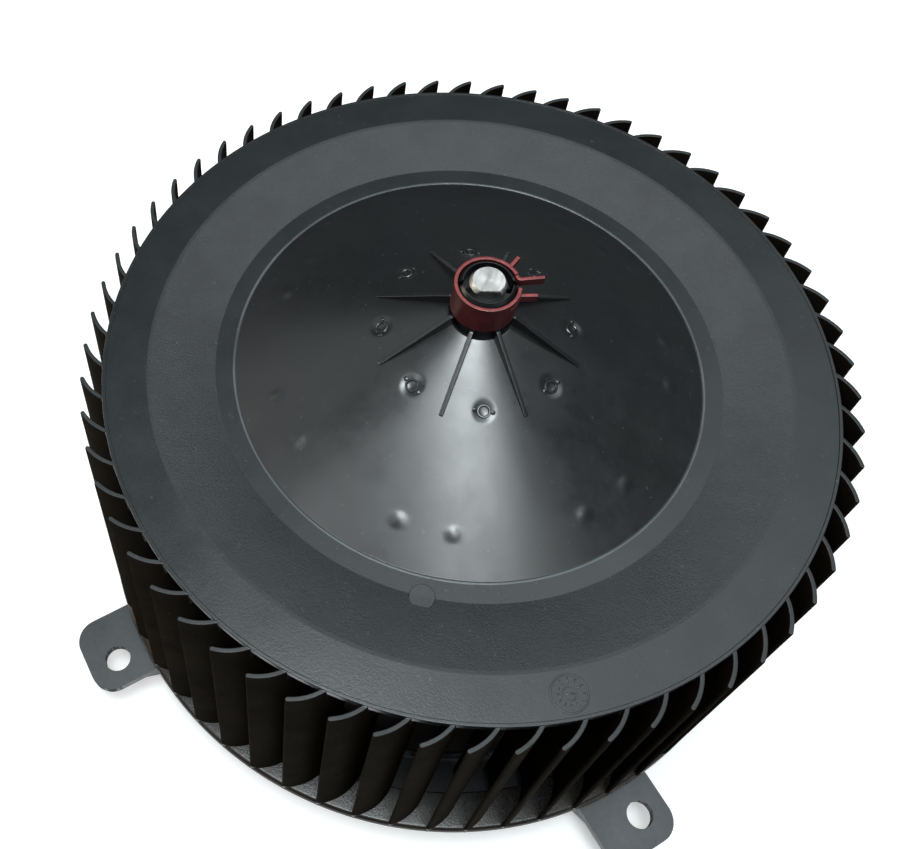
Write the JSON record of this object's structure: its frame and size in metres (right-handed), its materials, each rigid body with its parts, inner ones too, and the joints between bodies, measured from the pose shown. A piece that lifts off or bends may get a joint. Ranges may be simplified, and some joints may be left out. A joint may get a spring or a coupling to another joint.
{
  "type": "blower motor",
  "caption": "Round blower: a closed disc fan wheel with a conical hub and curved blades, turned by a brushed motor inside it on an open ring frame with bolt ears.",
  "frame": {"origin": "on the shaft's axis, in the plane of the frame skirt's lower edge", "axes": "+Z along the shaft towards the closed disc and the hub clip, +X and +Y between the ears"},
  "size_m": [0.191, 0.191, 0.123],
  "materials": {
    "wheel_plastic": "black moulded plastic, satin",
    "red_clip": "dark red coated spring steel",
    "shaft_steel": "bright turned steel",
    "core_steel": "laminated steel",
    "insulator": "moulded insulator",
    "winding_copper": "enamelled copper",
    "bar_copper": "drawn copper",
    "phenolic": "brown moulded resin",
    "bronze": "sintered bronze",
    "can_steel": "zinc plated deep drawn steel",
    "ferrite": "ground ferrite",
    "spring_steel": "spring steel",
    "shield_plastic": "black moulded plastic",
    "brass": "stamped brass",
    "carbon": "pressed carbon",
    "capacitor_film": "dipped resin",
    "rubber": "soft black rubber",
    "frame_plastic": "black moulded plastic, semi gloss",
    "screw_steel": "zinc plated steel"
  },
  "bodies": {
    "housing": {"motor_can": "can_steel", "magnet_left": "ferrite", "magnet_right": "ferrite", "magnet_springs": "spring_steel", "upper_bearing": "bronze", "upper_bearing_retainer": "spring_steel", "end_shield": "shield_plastic", "lower_bearing": "bronze", "lower_bearing_retainer": "spring_steel", "brush_card": "phenolic", "brush_tube_left": "brass", "brush_tube_right": "brass", "brush_spring_left": "spring_steel", "brush_spring_right": "spring_steel", "choke_left": "winding_copper", "choke_right": "winding_copper", "capacitor": "capacitor_film", "terminal_left": "brass", "terminal_right": "brass", "connector_housing": "shield_plastic", "upper_isolator": "rubber", "lower_isolator": "rubber", "mounting_frame": "frame_plastic", "motor_screws": "screw_steel"},
    "rotor": {"fan_wheel": "wheel_plastic", "hub_clip": "red_clip", "motor_shaft": "shaft_steel", "armature_core": "core_steel", "end_insulators": "insulator", "armature_winding": "winding_copper", "commutator_bars": "bar_copper", "commutator_core": "phenolic", "thrust_washers": "bronze"},
    "left_brush": {"brush_left": "carbon"},
    "right_brush": {"brush_right": "carbon"}
  },
  "joints": [
    {"name": "rotor_spin", "type": "hinge", "parent": "housing", "child": "rotor", "pos_m": [0, 0, 0], "axis": [0, 0, 1], "continuous": true},
    {"name": "left_brush_slide", "type": "slide", "parent": "housing", "child": "left_brush", "axis": [-1, 0, 0], "range_m": [0, 0.003], "stiffness_N_per_m": 250, "springref_m": -0.004, "deforming": ["brush_spring_left"]},
    {"name": "right_brush_slide", "type": "slide", "parent": "housing", "child": "right_brush", "axis": [1, 0, 0], "range_m": [0, 0.003], "stiffness_N_per_m": 250, "springref_m": -0.004, "deforming": ["brush_spring_right"]}
  ]
}
